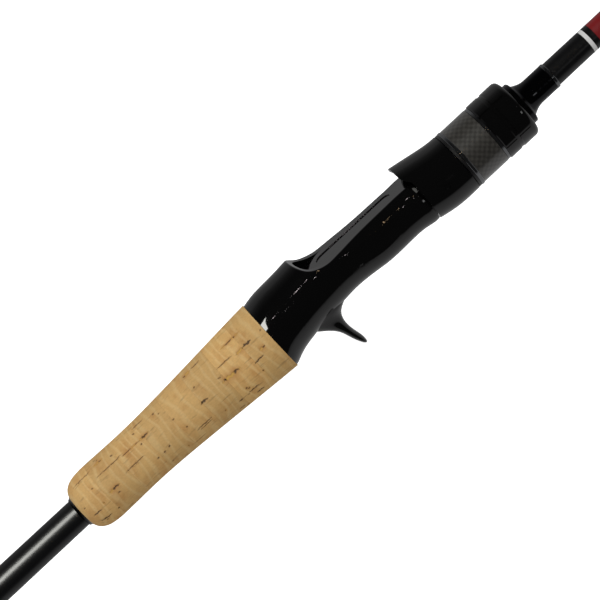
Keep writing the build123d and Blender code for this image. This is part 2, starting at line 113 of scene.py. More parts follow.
class RodSizes(bpy.types.PropertyGroup):
    """Sizes of the surface detail, in metres."""

    cork_spacing: FloatProperty(
        name="Cork mesh spacing",
        description="Distance between vertices on the rear grip's cork",
        default=0.24 * MM,
        min=0.1 * MM,
        unit="LENGTH",
    )
    butt_spacing: FloatProperty(
        name="Butt cork mesh spacing",
        description="Distance between vertices on the butt grip's cork",
        default=0.36 * MM,
        min=0.1 * MM,
        unit="LENGTH",
    )
    pit_depth: FloatProperty(
        name="Pit depth",
        description="Depth of the cork's open pores",
        default=0.3 * MM,
        unit="LENGTH",
    )
    ring_chamfer: FloatProperty(
        name="Ring joint",
        description="Small chamfer where two cork rings meet",
        default=0.06 * MM,
        unit="LENGTH",
    )
    tow_width: FloatProperty(
        name="Tow width",
        description="Width of one carbon tow in the nut's ring",
        default=0.92 * MM,
        unit="LENGTH",
    )
    thread_pitch: FloatProperty(
        name="Winding thread",
        description="Distance between turns of the winding thread",
        default=0.22 * MM,
        unit="LENGTH",
    )
    pale_band_start: FloatProperty(
        name="Pale band",
        description="Where the pale band on the blank starts",
        default=380.0 * MM,
        unit="LENGTH",
    )
    pale_band_width: FloatProperty(
        name="Pale band width",
        description="Width of the pale band on the blank",
        default=1.6 * MM,
        unit="LENGTH",
    )
    red_band_start: FloatProperty(
        name="Red band",
        description="Where the red band on the blank starts",
        default=384.0 * MM,
        unit="LENGTH",
    )
    red_band_width: FloatProperty(
        name="Red band width",
        description="Width of the red band on the blank",
        default=7.0 * MM,
        unit="LENGTH",
    )
    cork_seed: IntProperty(
        name="Cork seed",
        description="Seed of the pores scattered over the cork",
        default=11,
    )


class RodColours(bpy.types.PropertyGroup):
    """Colours of the finishes."""

    cork: FloatVectorProperty(
        name="Cork",
        description="Main colour of the sanded cork",
        default=linear("#CDA464"),
        subtype="COLOR",
        size=3,
    )
    cork_pale: FloatVectorProperty(
        name="Pale cork",
        description="Pale growth bands in the cork",
        default=linear("#D8B67A"),
        subtype="COLOR",
        size=3,
    )
    cork_warm: FloatVectorProperty(
        name="Warm cork",
        description="Orange-brown patches in the cork",
        default=linear("#B98546"),
        subtype="COLOR",
        size=3,
    )
    cork_pore: FloatVectorProperty(
        name="Pore",
        description="Dark dust at the bottom of the pores",
        default=linear("#553E22"),
        subtype="COLOR",
        size=3,
    )
    cork_fill: FloatVectorProperty(
        name="Pore filler",
        description="Golden filler that some pores hold",
        default=linear("#D9A94E"),
        subtype="COLOR",
        size=3,
    )
    gloss_black: FloatVectorProperty(
        name="Gloss black",
        description="Moulded nylon of the seat, hood and nut",
        default=linear("#050505"),
        subtype="COLOR",
        size=3,
    )
    blank: FloatVectorProperty(
        name="Blank",
        description="Coating of the rod blank",
        default=linear("#08080A"),
        subtype="COLOR",
        size=3,
    )
    band_pale: FloatVectorProperty(
        name="Pale band",
        description="Painted pale band on the blank",
        default=linear("#D8D8D6"),
        subtype="COLOR",
        size=3,
    )
    band_red: FloatVectorProperty(
        name="Red band",
        description="Painted red band on the blank",
        default=linear("#7A1216"),
        subtype="COLOR",
        size=3,
    )
    # Painted shade and painted sheen of the woven carbon: the two tow colours below stand
    # for light falling on the weave.
    carbon_painted_shade: FloatVectorProperty(
        name="Carbon, dark tow",
        description="Tows that run away from the light",
        default=linear("#26231F"),
        subtype="COLOR",
        size=3,
    )
    carbon_painted_sheen: FloatVectorProperty(
        name="Carbon, light tow",
        description="Tows that catch the light",
        default=linear("#3A3833"),
        subtype="COLOR",
        size=3,
    )
    polished: FloatVectorProperty(
        name="Polished metal",
        description="Thin trim rings",
        default=linear("#77787A"),
        subtype="COLOR",
        size=3,
    )
    anodised: FloatVectorProperty(
        name="Black anodising",
        description="Turned checks",
        default=linear("#2B2B2D"),
        subtype="COLOR",
        size=3,
    )


class RodStudio(bpy.types.PropertyGroup):
    """Camera and lights."""

    camera_distance: FloatProperty(
        name="Camera distance",
        description="From the camera to the point it looks at",
        default=0.9,
        unit="LENGTH",
    )
    camera_elevation: FloatProperty(
        name="Camera elevation",
        description="Angle above the horizon",
        default=math.radians(18.0),
        subtype="ANGLE",
    )
    camera_roll: FloatProperty(
        name="Camera roll",
        description="Turn of the camera about its own axis",
        default=math.radians(42.88),
        subtype="ANGLE",
    )
    camera_lens: FloatProperty(
        name="Lens",
        description="Focal length on a 36 mm sensor, in millimetres",
        default=147.0,
    )
    aim_x: FloatProperty(
        name="Aim along the rod",
        description="Where along the rod the camera looks",
        default=238.8 * MM,
        unit="LENGTH",
    )
    aim_up: FloatProperty(
        name="Aim above the axis",
        description="How far above the rod's axis the camera looks",
        default=2.1 * MM,
        unit="LENGTH",
    )
    tent_level: FloatProperty(
        name="Tent",
        description="Brightness of the white tent seen in reflections",
        default=0.42,
    )
    room_level: FloatProperty(
        name="Room",
        description="Brightness of the dark room behind the camera",
        default=0.03,
    )
    fill_level: FloatProperty(
        name="Fill",
        description="Even light on matt surfaces",
        default=0.48,
    )
    key_power: FloatProperty(
        name="Key light",
        description="Power of the large soft light above the camera",
        default=13.0,
        unit="POWER",
    )


# ---------------------------------------------------------------- materials


def add(tree, kind, inputs=None, **settings):
    """Adds a node with its settings, and sets or links its inputs."""
    made = tree.nodes.new(kind)
    for key, value in settings.items():
        setattr(made, key, value)
    for key, value in (inputs or {}).items():
        socket = made.inputs[key]
        if isinstance(value, bpy.types.NodeSocket):
            tree.links.new(value, socket)
        else:
            socket.default_value = value
    return made


def surface(name, inputs):
    """A new material with one Principled shader set to these inputs."""
    material = bpy.data.materials.new(name)
    material.use_nodes = True
    material.node_tree.nodes.clear()
    tree = material.node_tree
    shader = add(tree, "ShaderNodeBsdfPrincipled", inputs)
    add(tree, "ShaderNodeOutputMaterial", {"Surface": shader.outputs[0]})
    return material, tree, shader


def feed(tree, shader, **sources):
    """Links sockets into the shader's inputs, with _ for a space in the name."""
    for key, socket in sources.items():
        tree.links.new(socket, shader.inputs[key.replace("_", " ")])


def stretched(tree, scale, location=(0, 0, 0)):
    """Object coordinates scaled in X, Y and Z, in cycles to a metre."""
    place = add(tree, "ShaderNodeTexCoord").outputs["Object"]
    return add(
        tree,
        "ShaderNodeMapping",
        {"Vector": place, "Scale": scale, "Location": location},
    ).outputs[0]


def around(tree, radius):
    """Distance round the rod's axis and distance along it, both in metres."""
    place = add(tree, "ShaderNodeTexCoord").outputs["Object"]
    parts = add(tree, "ShaderNodeSeparateXYZ", {0: place})
    angle = add(
        tree,
        "ShaderNodeMath",
        {0: parts.outputs[2], 1: parts.outputs[1]},
        operation="ARCTAN2",
    )
    arc = add(
        tree, "ShaderNodeMath", {0: angle.outputs[0], 1: radius}, operation="MULTIPLY"
    )
    return arc.outputs[0], parts.outputs[0]


def gloss_nylon(colours):
    """Polished black moulded nylon: a deep gloss with a trace of sink and haze."""
    material, tree, shader = surface(
        "gloss_black_moulded_nylon",
        {
            "Base Color": rgba(colours.gloss_black),
            "Roughness": 0.05,
            "IOR": 1.5,
        },
    )
    # Sink marks of a moulding are a few millimetres across and a few microns deep.
    sink = add(
        tree,
        "ShaderNodeTexNoise",
        {"Vector": stretched(tree, (90, 90, 90)), "Scale": 1.0, "Detail": 1.0},
    )
    bump = add(
        tree,
        "ShaderNodeBump",
        {"Height": sink.outputs["Fac"], "Distance": 0.00003, "Strength": 0.6},
    )
    haze = add(
        tree,
        "ShaderNodeTexNoise",
        {"Vector": stretched(tree, (400, 400, 400)), "Scale": 1.0, "Detail": 4.0},
    )
    polish = add(
        tree,
        "ShaderNodeMapRange",
        {"Value": haze.outputs["Fac"], "To Min": 0.035, "To Max": 0.085},
    )
    feed(tree, shader, Normal=bump.outputs[0], Roughness=polish.outputs[0])
    return material


def satin_blank(colours, sizes):
    """Carbon under a satin black coat: a soft highlight and two painted bands."""
    material, tree, shader = surface(
        "satin_coated_carbon_blank", {"Roughness": 0.3, "IOR": 1.5}
    )
    place = add(tree, "ShaderNodeTexCoord").outputs["Object"]
    along = add(tree, "ShaderNodeSeparateXYZ", {0: place}).outputs[0]
    colour = rgba(colours.blank)
    for start, width, paint in (
        (sizes.pale_band_start, sizes.pale_band_width, colours.band_pale),
        (sizes.red_band_start, sizes.red_band_width, colours.band_red),
    ):
        inside = add(
            tree,
            "ShaderNodeMath",
            {0: along, 1: start + width / 2, 2: width / 2},
            operation="COMPARE",
        )
        colour = add(
            tree,
            "ShaderNodeMix",
            {0: inside.outputs[0], 6: colour, 7: rgba(paint)},
            data_type="RGBA",
        ).outputs[2]
    # Marks of the shrink tape, sanded almost away: 3 mm turns, a few microns high.
    tape = add(
        tree,
        "ShaderNodeTexWave",
        {
            "Vector": stretched(tree, (105, 14, 14)),
            "Scale": 1.0,
            "Distortion": 1.5,
            "Detail": 1.0,
        },
        bands_direction="X",
    )
    bump = add(
        tree,
        "ShaderNodeBump",
        {"Height": tape.outputs["Fac"], "Distance": 0.000006, "Strength": 0.4},
    )
    grain = add(
        tree,
        "ShaderNodeTexNoise",
        {"Vector": stretched(tree, (300, 1500, 1500)), "Scale": 1.0, "Detail": 3.0},
    )
    satin = add(
        tree,
        "ShaderNodeMapRange",
        {"Value": grain.outputs["Fac"], "To Min": 0.27, "To Max": 0.34},
    )
    feed(
        tree,
        shader,
        Base_Color=colour,
        Normal=bump.outputs[0],
        Roughness=satin.outputs[0],
    )
    return material


RING_TONES = (0.05, -0.06)
RING_SPREAD = 0.05


def sanded_cork(colours, sizes, ring):
    """Cork, turned and sanded: matt and mottled, with bands and dark open pores."""
    material, tree, shader = surface(
        f"sanded_cork_{ring + 1}", {"Roughness": 0.85, "IOR": 1.45}
    )
    draw = np.random.default_rng(sizes.cork_seed * 100 + ring)
    drift = tuple(draw.uniform(-5, 5, 3))
    tilt = draw.uniform(-0.25, 0.25)
    # Cloudy colour, patches of 4 to 8 mm.
    clouds = add(
        tree,
        "ShaderNodeTexNoise",
        {
            "Vector": stretched(tree, (150, 110, 110), drift),
            "Scale": 1.0,
            "Detail": 3.0,
            "Roughness": 0.55,
        },
    )
    warm = add(
        tree,
        "ShaderNodeMapRange",
        {
            "Value": clouds.outputs["Fac"],
            "From Min": 0.47 + draw.uniform(-0.05, 0.07),
            "From Max": 0.72,
            "To Max": 0.75,
        },
    )
    colour = add(
        tree,
        "ShaderNodeMix",
        {0: warm.outputs[0], 6: rgba(colours.cork), 7: rgba(colours.cork_warm)},
        data_type="RGBA",
    ).outputs[2]
    # Growth bands cross the grip about every 3.7 mm, wavy and faint.
    bands = add(
        tree,
        "ShaderNodeTexWave",
        {
            "Vector": add(
                tree,
                "ShaderNodeMapping",
                {
                    "Vector": add(tree, "ShaderNodeTexCoord").outputs["Object"],
                    "Scale": (85, 34, 34),
                    "Rotation": (0, tilt, tilt),
                    "Location": drift,
                },
            ).outputs[0],
            "Scale": 1.0,
            "Distortion": 11.0,
            "Detail": 3.0,
            "Detail Scale": 0.9,
        },
        bands_direction="X",
    )
    pale = add(
        tree,
        "ShaderNodeMapRange",
        {
            "Value": bands.outputs["Fac"],
            "From Min": 0.62,
            "From Max": 1.0,
            "To Max": 0.55,
        },
    )
    colour = add(
        tree,
        "ShaderNodeMix",
        {0: pale.outputs[0], 6: colour, 7: rgba(colours.cork_pale)},
        data_type="RGBA",
    ).outputs[2]
    # Cells and sanding marks: a speckle of 0.5 to 0.9 mm.
    speckle = add(
        tree,
        "ShaderNodeTexNoise",
        {
            "Vector": stretched(tree, (1100, 1800, 1800), drift),
            "Scale": 1.0,
            "Detail": 3.0,
        },
    )
    tone = add(
        tree,
        "ShaderNodeMapRange",
        {
            "Value": speckle.outputs["Fac"],
            "From Min": 0.3,
            "From Max": 0.7,
            "To Min": 0.93,
            "To Max": 1.07,
        },
    )
    # Rings were cut from different sheets, so each has its own tone.
    ring_tone = 1 + RING_TONES[ring % 2] + draw.uniform(-RING_SPREAD, RING_SPREAD)
    shade = add(
        tree, "ShaderNodeMath", {0: tone.outputs[0], 1: ring_tone}, operation="MULTIPLY"
    )
    colour = add(
        tree,
        "ShaderNodeVectorMath",
        {0: colour, "Scale": shade.outputs[0]},
        operation="SCALE",
    ).outputs[0]
    # Dark lines run along the grip, a few millimetres long and a fraction of one wide.
    lines = add(
        tree,
        "ShaderNodeTexNoise",
        {
            "Vector": stretched(tree, (110, 900, 900), drift),
            "Scale": 1.0,
            "Detail": 2.0,
        },
    )
    dark = add(
        tree,
        "ShaderNodeMapRange",
        {
            "Value": lines.outputs["Fac"],
            "From Min": 0.6,
            "From Max": 0.75,
            "To Max": 0.35,
        },
    )
    colour = add(
        tree,
        "ShaderNodeMix",
        {0: dark.outputs[0], 6: colour, 7: rgba(colours.cork_pore)},
        data_type="RGBA",
    ).outputs[2]
    # Pores: a warm stain round them, some with golden filler, dark dust inside.
    stain = add(tree, "ShaderNodeAttribute", attribute_name="stain").outputs["Fac"]
    filler = add(tree, "ShaderNodeAttribute", attribute_name="filler").outputs["Fac"]
    pore = add(tree, "ShaderNodeAttribute", attribute_name="pore").outputs["Fac"]
    for amount, paint in (
        (stain, colours.cork_warm),
        (filler, colours.cork_fill),
        (pore, colours.cork_pore),
    ):
        colour = add(
            tree,
            "ShaderNodeMix",
            {0: amount, 6: colour, 7: rgba(paint)},
            data_type="RGBA",
        ).outputs[2]
    bump = add(
        tree,
        "ShaderNodeBump",
        {"Height": speckle.outputs["Fac"], "Distance": 0.00006, "Strength": 0.5},
    )
    feed(tree, shader, Base_Color=colour, Normal=bump.outputs[0])
    return material


def lacquered_carbon(colours, sizes):
    """Woven carbon cloth under clear lacquer: two tow directions, with painted sheen and
    painted shade on the tows by turns.
    """
    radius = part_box("carbon_sleeve")[1].z
    material, tree, shader = surface(
        "lacquered_woven_carbon",
        {"Roughness": 0.42, "Coat Weight": 1.0, "Coat Roughness": 0.09, "IOR": 1.5},
    )
    # A whole number of tows goes round the ring, so the cloth meets itself.
    tows = 2 * round(FULL_TURN * radius / (sizes.tow_width * math.sqrt(2)) / 2)
    pitch = FULL_TURN * radius / tows
    arc, along = around(tree, radius)
    # The tows lie a little unevenly, by up to a tenth of a millimetre.
    uneven = add(
        tree,
        "ShaderNodeTexNoise",
        {"Vector": stretched(tree, (330, 330, 330)), "Scale": 1.0, "Detail": 1.0},
    )
    arc = add(
        tree,
        "ShaderNodeMath",
        {0: uneven.outputs["Fac"], 1: 0.5 * MM, 2: arc},
        operation="MULTIPLY_ADD",
    ).outputs[0]
    heights = []
    for sign in (1, -1):
        side = add(
            tree, "ShaderNodeMath", {0: along, 1: float(sign)}, operation="MULTIPLY"
        )
        diagonal = add(
            tree, "ShaderNodeMath", {0: arc, 1: side.outputs[0]}, operation="ADD"
        )
        phase = add(
            tree,
            "ShaderNodeMath",
            {0: diagonal.outputs[0], 1: math.pi / pitch},
            operation="MULTIPLY",
        )
        heights.append(
            add(tree, "ShaderNodeMath", {0: phase.outputs[0]}, operation="SINE").outputs[
                0
            ]
        )
    cross = add(
        tree, "ShaderNodeMath", {0: heights[0], 1: heights[1]}, operation="ADD"
    )
    side = add(
        tree,
        "ShaderNodeMapRange",
        {"Value": cross.outputs[0], "From Min": -1.6, "From Max": 2.0},
    )
    fibres = add(
        tree,
        "ShaderNodeTexNoise",
        {"Vector": stretched(tree, (900, 900, 900)), "Scale": 1.0, "Detail": 3.0},
    )
    fray = add(
        tree,
        "ShaderNodeMath",
        {0: fibres.outputs["Fac"], 1: 1.2, 2: -0.6},
        operation="MULTIPLY_ADD",
    )
    share = add(
        tree,
        "ShaderNodeMath",
        {0: side.outputs[0], 1: fray.outputs[0]},
        operation="ADD",
        use_clamp=True,
    )
    # Painted sheen and shade: the colour goes from the shaded tow to the lit tow where the
    # weave stands high, the same height that the bump uses.
    colour = add(
        tree,
        "ShaderNodeMix",
        {
            0: share.outputs[0],
            6: rgba(colours.carbon_painted_shade),
            7: rgba(colours.carbon_painted_sheen),
        },
        data_type="RGBA",
    )
    bump = add(
        tree,
        "ShaderNodeBump",
        {"Height": cross.outputs[0], "Distance": 0.00002, "Strength": 0.5},
    )
    feed(tree, shader, Base_Color=colour.outputs[2], Normal=bump.outputs[0])
    return material


def turned_metal(name, colour, roughness, lines):
    """Turned metal: fine rings of the tool run round the axis and stretch the highlight."""
    material, tree, shader = surface(
        name, {"Base Color": rgba(colour), "Metallic": 1.0, "Roughness": roughness}
    )
    tool = add(
        tree,
        "ShaderNodeTexNoise",
        {"Vector": stretched(tree, (lines, 60, 60)), "Scale": 1.0, "Detail": 2.0},
    )
    polish = add(
        tree,
        "ShaderNodeMapRange",
        {
            "Value": tool.outputs["Fac"],
            "To Min": roughness * 0.7,
            "To Max": roughness * 1.4,
        },
    )
    bump = add(
        tree,
        "ShaderNodeBump",
        {"Height": tool.outputs["Fac"], "Distance": 0.00001, "Strength": 0.3},
    )
    feed(tree, shader, Roughness=polish.outputs[0], Normal=bump.outputs[0])
    return material


def wound_thread(sizes):
    """Nylon thread wound tight under clear epoxy: fine ribs under a thick smooth gloss, with
    painted shade in the grooves between the turns.
    """
    material, tree, shader = surface(
        "wound_thread_under_epoxy",
        {"Roughness": 0.5, "Coat Weight": 1.0, "Coat Roughness": 0.04, "IOR": 1.5},
    )
    place = add(tree, "ShaderNodeTexCoord").outputs["Object"]
    along = add(tree, "ShaderNodeSeparateXYZ", {0: place}).outputs[0]
    phase = add(
        tree,
        "ShaderNodeMath",
        {0: along, 1: FULL_TURN / sizes.thread_pitch},
        operation="MULTIPLY",
    )
    ribs = add(tree, "ShaderNodeMath", {0: phase.outputs[0]}, operation="SINE")
    share = add(
        tree,
        "ShaderNodeMapRange",
        {"Value": ribs.outputs[0], "From Min": -1.0},
    )
    # Painted shade and highlight: the thread is darker in the grooves between turns and
    # lighter on their crests, by the same height the bump uses.
    colour = add(
        tree,
        "ShaderNodeMix",
        {
            0: share.outputs[0],
            6: rgba(linear("#060607")),
            7: rgba(linear("#1B1B1D")),
        },
        data_type="RGBA",
    )
    bump = add(
        tree,
        "ShaderNodeBump",
        {"Height": share.outputs[0], "Distance": 0.00003, "Strength": 0.4},
    )
    feed(tree, shader, Base_Color=colour.outputs[2], Normal=bump.outputs[0])
    return material


def grained(name, hex_colours, roughness, grain, depth):
    """A plain moulded or sintered stuff with a fine grain in colour and height."""
    material, tree, shader = surface(name, {"Roughness": roughness, "IOR": 1.5})
    noise = add(
        tree,
        "ShaderNodeTexNoise",
        {
            "Vector": stretched(tree, (1 / grain,) * 3),
            "Scale": 1.0,
            "Detail": 4.0,
        },
    )
    share = add(
        tree,
        "ShaderNodeMapRange",
        {"Value": noise.outputs["Fac"], "From Min": 0.3, "From Max": 0.7},
    )
    colour = add(
        tree,
        "ShaderNodeMix",
        {
            0: share.outputs[0],
            6: rgba(linear(hex_colours[0])),
            7: rgba(linear(hex_colours[1])),
        },
        data_type="RGBA",
    )
    bump = add(
        tree,
        "ShaderNodeBump",
        {"Height": noise.outputs["Fac"], "Distance": depth, "Strength": 0.6},
    )
    feed(tree, shader, Base_Color=colour.outputs[2], Normal=bump.outputs[0])
    return material


def dress(node, material):
    """Gives a CAD node its finished material."""
    mesh = NODES[node].data
    mesh.materials.clear()
    mesh.materials.append(material)


# ---------------------------------------------------------------- modelling


def start_clean():
    """Leaves edit mode and deselects everything."""
    if bpy.context.object and bpy.context.object.mode != "OBJECT":
        bpy.ops.object.mode_set(mode="OBJECT")
    bpy.ops.object.select_all(action="DESELECT")


def turn_on_lathe(name, outline, steps):
    """A ring turned about the rod's axis from a closed outline of (x, radius), in metres."""
    start_clean()
    first_x, first_r = outline[0]
    bpy.ops.mesh.primitive_plane_add(size=MM, location=(first_x, 0, first_r))
    ring = bpy.context.object
    ring.name = ring.data.name = name
    bpy.ops.object.transform_apply(location=True, rotation=True, scale=True)
    bpy.ops.object.mode_set(mode="EDIT")
    bpy.ops.mesh.select_all(action="SELECT")
    bpy.ops.mesh.merge(type="CENTER")
    for (x0, r0), (x1, r1) in zip(outline, [*outline[1:], outline[0]]):
        bpy.ops.mesh.extrude_region_move(
            TRANSFORM_OT_translate={"value": (x1 - x0, 0, r1 - r0)}
        )
    bpy.ops.mesh.select_all(action="SELECT")
    bpy.ops.mesh.remove_doubles(threshold=OUTLINE_WELD)
    bpy.ops.mesh.select_all(action="SELECT")
    bpy.ops.mesh.spin(
        steps=steps, angle=FULL_TURN, center=(0, 0, 0), axis=(1, 0, 0), dupli=False
    )
    bpy.ops.mesh.select_all(action="SELECT")
    bpy.ops.mesh.remove_doubles(threshold=RING_WELD)
    bpy.ops.mesh.normals_make_consistent(inside=False)
    bpy.ops.object.mode_set(mode="OBJECT")
    return ring


def cad_profile(node):
    """Outer radius against x of a turned CAD node, as two arrays in metres."""
    points = np.array([v.co for v in NODES[node].data.vertices], float)
    radius = np.hypot(points[:, 1], points[:, 2])
    stations = np.unique(np.round(points[:, 0], 5))
    outer = np.array(
        [radius[np.abs(points[:, 0] - x) < STATION_GAP].max() for x in stations]
    )
    return stations, outer


# Pores on the rear grip that show most: place along the rod in mm, place round it in
# degrees above the horizontal on the trigger's near side, length and width in mm, and
# how much golden filler they hold.
MAIN_PORES = (
    (135.8, 65.0, 9.3, 0.35, 0.0),
    (147.1, 44.0, 12.8, 0.35, 0.0),
    (157.0, 41.0, 9.0, 0.3, 0.1),
    (163.5, 41.0, 5.5, 0.7, 0.3),
    (143.0, 7.0, 5.5, 0.8, 0.35),
    (154.6, 14.0, 9.8, 0.35, 0.0),
    (164.4, 72.0, 5.8, 0.5, 0.0),
    (132.4, -7.0, 4.0, 0.6, 0.0),
    (133.5, -29.0, 5.0, 0.8, 0.0),
    (142.5, -52.0, 3.0, 0.5, 0.0),
    (188.5, 13.0, 3.8, 1.0, 0.0),
    (182.9, -18.0, 7.5, 0.45, 0.0),
    (183.3, -22.0, 6.0, 0.35, 0.0),
    (202.1, 14.0, 9.2, 1.3, 0.75),
    (194.6, 74.0, 4.7, 0.6, 0.0),
    (189.9, 73.0, 4.2, 0.9, 0.7),
    (203.3, 36.0, 7.5, 0.4, 0.0),
    (210.1, 56.0, 9.8, 0.5, 0.6),
    (214.0, 33.0, 4.0, 1.1, 0.0),
    (210.2, 32.0, 4.0, 0.8, 0.9),
    (213.5, 3.5, 4.9, 0.6, 0.0),
    (204.7, -29.0, 4.7, 0.6, 0.0),
    (206.1, -43.0, 3.5, 1.0, 0.0),
    (198.4, -31.0, 2.0, 0.8, 0.0),
    (196.9, -49.0, 3.0, 0.7, 0.0),
    (144.4, 68.0, 4.8, 0.6, 0.8),
    (177.9, -39.0, 5.0, 0.3, 0.0),
    (217.0, 13.0, 3.0, 0.8, 0.5),
    (149.9, 58.0, 1.1, 0.8, 0.0),
    (161.1, 61.0, 1.0, 0.8, 0.0),
    (171.3, 62.0, 1.0, 0.8, 0.0),
    (162.2, -7.5, 1.0, 0.7, 0.0),
    (165.4, -7.4, 1.0, 0.7, 0.0),
    (168.0, -5.0, 1.0, 0.7, 0.0),
)


# Scattered pores: how many to a millimetre, their lengths in mm and the odds of each, the
# odds of filler, and the angles where only small ones join the marked pores.
PORES_PER_MM = 3.4
PORE_LENGTHS = (0.8, 1.2, 3.0, 5.0, 8.0)
PORE_LENGTH_ODDS = (0.3, 0.2, 0.2, 0.2, 0.1)
FILLER_LEVELS = (0.0, 0.5)
FILLER_ODDS = (0.85, 0.15)
SMALL_PORE = 2
MARKED_ANGLES = (-70, 95)

# Shape of a pore: how soft its edge is in mm, and the waves of its middle line, of its
# width and of its gaps, each as lengths in mm and a height.
PORE_EDGE = 0.05
LINE_WAVES = ((4.1, 1.9), 0.12)
WIDTH_WAVES = ((1.9, 0.9), 0.14)
GAP_WAVES = ((3.1, 1.3), 0.4)
HALF_WIDTH = 0.42
MAX_SLOPE = 0.05


def scattered_pores(start, end, clear_front, seed):
    """More pores, as (x, angle, length, width, filler), fewer near the marked ones."""
    draw = np.random.default_rng(seed)
    pores = []
    for _ in range(int((end - start) * PORES_PER_MM)):
        x = draw.uniform(start, end)
        angle = draw.uniform(-180, 180)
        length = draw.choice(PORE_LENGTHS, p=PORE_LENGTH_ODDS)
        length *= draw.uniform(0.7, 1.4)
        width = min(0.9, draw.uniform(0.22, 0.6) + 0.03 * length)
        filler = draw.choice(FILLER_LEVELS, p=FILLER_ODDS)
        marked = clear_front and MARKED_ANGLES[0] < angle < MARKED_ANGLES[1]
        if marked and not (length < SMALL_PORE and draw.random() < 0.5):
            continue
        pores.append((x, angle, length, width, filler))
    return pores


def ripple(draw, x, lengths, height):
    """A wandering line over x, from a few sine waves."""
    line = np.zeros_like(x)
    for length in lengths:
        line += height * np.sin(FULL_TURN * x / length + draw.uniform(0, FULL_TURN))
    return line


def pore_fields(x, angle, radius, pores, seed):
    """How much of pore, filler and stain each point of the cork's skin holds, 0 to 1."""
    pore, filler, stain = (np.zeros_like(x) for _ in range(3))
    for index, (px, pangle, length, width, fill) in enumerate(pores):
        draw = np.random.default_rng(seed * 1000 + index)
        wander = ripple(draw, x, LINE_WAVES[0], LINE_WAVES[1] * width)
        slope = draw.uniform(-MAX_SLOPE, MAX_SLOPE)
        along = (x - px) / (length / 2)
        near = np.abs(along) < 1.6
        across = np.radians((angle - pangle + 180) % 360 - 180) * radius
        across = across - slope * (x - px) - wander
        half = HALF_WIDTH * width * (1 + ripple(draw, x, *WIDTH_WAVES))
        taper = np.clip(1 - np.abs(along) ** 2.5, 0, 1)
        gaps = np.clip(1.3 + ripple(draw, x, *GAP_WAVES), 0.3, 1)
        inside = 1 / (1 + np.exp((np.abs(across) - half * taper * gaps) / PORE_EDGE))
        inside *= near * (taper > 0)
        spread = np.exp(-((across / (width * 1.5)) ** 2)) * np.clip(taper * 1.4, 0, 1)
        stain = np.maximum(stain, near * spread * (0.25 + 0.6 * (fill > 0)))
        if fill > 0:
            side = np.sin(FULL_TURN * (x - px) / (length * 0.9) + draw.uniform(0, 6))
            held = np.clip((side + 2 * fill - 0.6) * 2.5, 0, 1) * inside
            filler = np.maximum(filler, held)
            inside = inside * (1 - 0.85 * held)
        pore = np.maximum(pore, inside)
    return pore, filler, stain


def cork_ring(context, node, pores, spacing, index):
    """Models one cork ring with open pores in its skin, in place of its CAD node."""
    sizes, colours = context.scene.rod_sizes, context.scene.rod_colours
    low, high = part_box(node)
    stations, outer = cad_profile(node)
    bore_points = np.array([v.co for v in NODES[node].data.vertices], float)
    bore = np.hypot(bore_points[:, 1], bore_points[:, 2]).min()
    chamfer = sizes.ring_chamfer
    count = max(4, round((high.x - low.x) / spacing))
    inner_x = np.linspace(low.x + chamfer, high.x - chamfer, count)
    skin = [(x, float(np.interp(x, stations, outer))) for x in inner_x]
    rear = float(np.interp(low.x, stations, outer))
    front = float(np.interp(high.x, stations, outer))
    outline = [
        (low.x, bore),
        (low.x, rear - chamfer),
        *skin,
        (high.x, front - chamfer),
        (high.x, bore),
    ]
    steps = round(FULL_TURN * high.z / spacing)
    ring = turn_on_lathe(f"{node}_skin", outline, steps)
    mesh = ring.data
    place = np.zeros(len(mesh.vertices) * 3, np.float32)
    mesh.vertices.foreach_get("co", place)
    place = place.reshape(-1, 3).astype(float)
    radius = np.hypot(place[:, 1], place[:, 2])
    angle = np.degrees(np.arctan2(place[:, 2], -place[:, 1]))
    skin_radius = np.interp(place[:, 0], stations, outer)
    on_skin = radius > skin_radius - 2.5 * chamfer
    fields = pore_fields(
        place[:, 0] / MM, angle, radius / MM, pores, sizes.cork_seed + index
    )
    for label, field in zip(("pore", "filler", "stain"), fields):
        layer = mesh.attributes.new(label, "FLOAT", "POINT")
        layer.data.foreach_set("value", (field * on_skin).astype(np.float32))
    # A Displace modifier presses the pores in, by the weights of a vertex group.
    group = ring.vertex_groups.new(name="pores")
    depth = np.clip(fields[0] + 0.35 * fields[1], 0, 1) * on_skin
    for level in np.arange(0.1, 1.01, 0.1):
        chosen = np.flatnonzero(np.abs(depth - level) <= 0.05)
        if len(chosen):
            group.add(chosen.tolist(), float(level), "REPLACE")
    press = ring.modifiers.new("press", "DISPLACE")
    press.vertex_group = group.name
    press.mid_level = 0.0
    press.strength = -sizes.pit_depth
    start_clean()
    ring.select_set(True)
    bpy.context.view_layer.objects.active = ring
    bpy.ops.object.modifier_apply(modifier=press.name)
    bpy.ops.object.shade_smooth_by_angle(angle=SMOOTH_ANGLE)
    mesh.materials.append(sanded_cork(colours, sizes, index))
    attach(ring, BODY_OF[node])
    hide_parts(node)


class ROD_OT_rear_grip(bpy.types.Operator):
    """Model the cork rings of the rear grip"""

    bl_idname = "rod.rear_grip"
    bl_label = "Rear grip"

    def execute(self, context):
        sizes = context.scene.rod_sizes
        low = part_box("cork_ring_1")[0].x / MM
        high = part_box(f"cork_ring_{GRIP_RINGS}")[1].x / MM
        scattered = scattered_pores(low, high, True, sizes.cork_seed)
        pores = [*MAIN_PORES, *scattered]
        for index in range(GRIP_RINGS):
            node = f"cork_ring_{index + 1}"
            start, end = (corner.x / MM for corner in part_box(node))
            near = [p for p in pores if start - p[2] < p[0] < end + p[2]]
            # Pores near a joint are given to both rings, so they run across it.
            cork_ring(context, node, near, sizes.cork_spacing, index)
        return {"FINISHED"}


